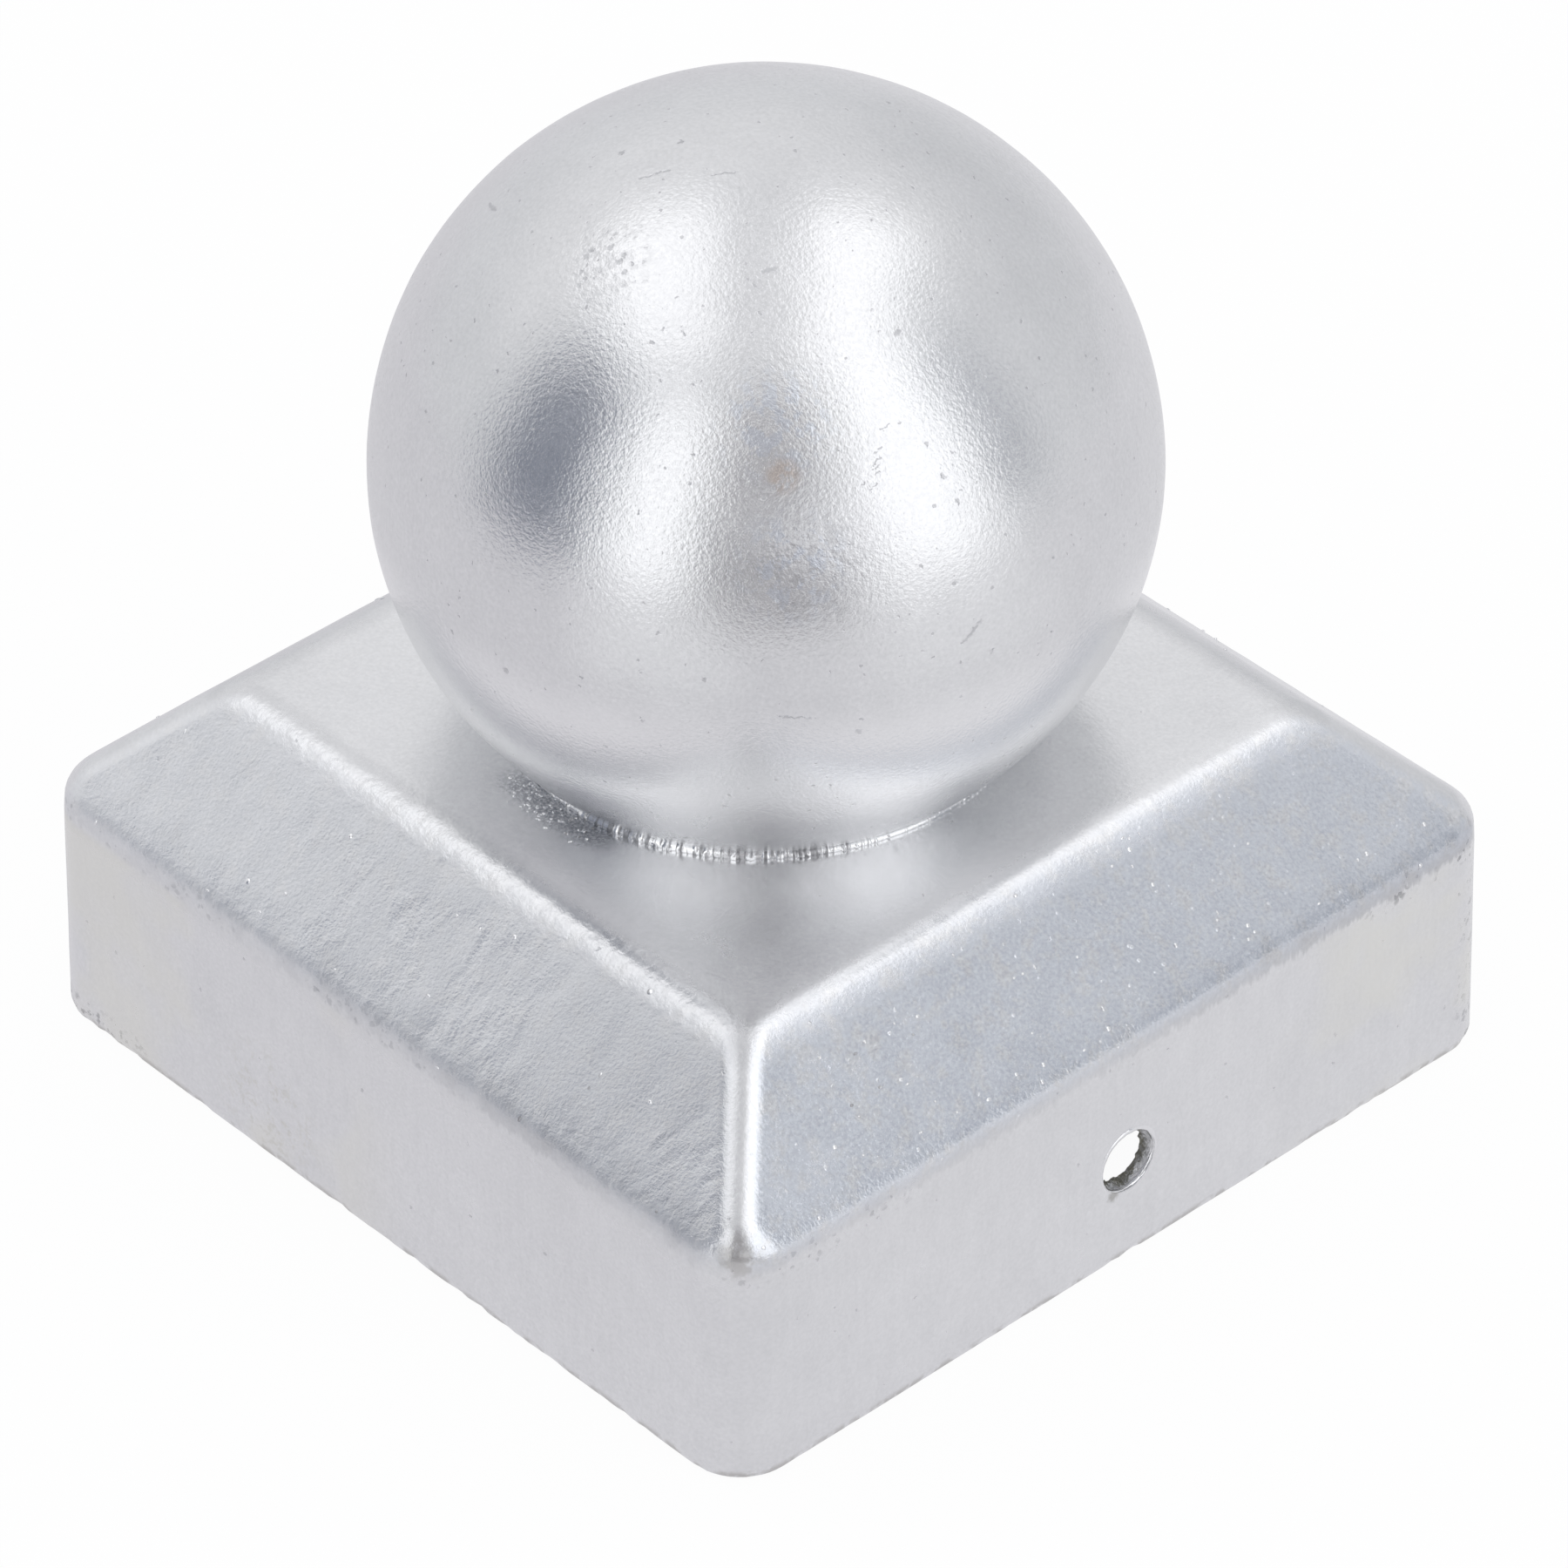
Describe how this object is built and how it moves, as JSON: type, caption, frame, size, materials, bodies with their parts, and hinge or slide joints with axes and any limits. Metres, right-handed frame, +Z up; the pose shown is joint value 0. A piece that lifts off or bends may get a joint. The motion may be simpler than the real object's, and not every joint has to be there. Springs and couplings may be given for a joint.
{
  "type": "fence post cap",
  "caption": "Square galvanised sheet-steel fence post cap with sloped shoulders and a hollow ball finial welded on top, open below to fit over a wooden post and screwed through its skirt.",
  "frame": {"origin": "middle of the open rim, on the plane of its lower edge", "axes": "+Z up through the middle of the ball, +X out through a skirt face that has a screw hole"},
  "size_m": [0.0746, 0.0746, 0.0766],
  "materials": {
    "galvanised_sheet": "hot-dip zinc, satin, with fine orange peel, runs and small pimples",
    "galvanised_ball": "hot-dip zinc, bright satin, with fine orange peel and small pits",
    "zinc_over_weld": "hot-dip zinc over a rippled weld bead, bright and lumpy"
  },
  "bodies": {
    "root": {"post_cap_shell": "galvanised_sheet", "ball_lower_half": "galvanised_ball", "ball_upper_half": "galvanised_ball", "ball_seam_weld": "galvanised_ball", "foot_weld_bead": "zinc_over_weld"}
  },
  "joints": []
}
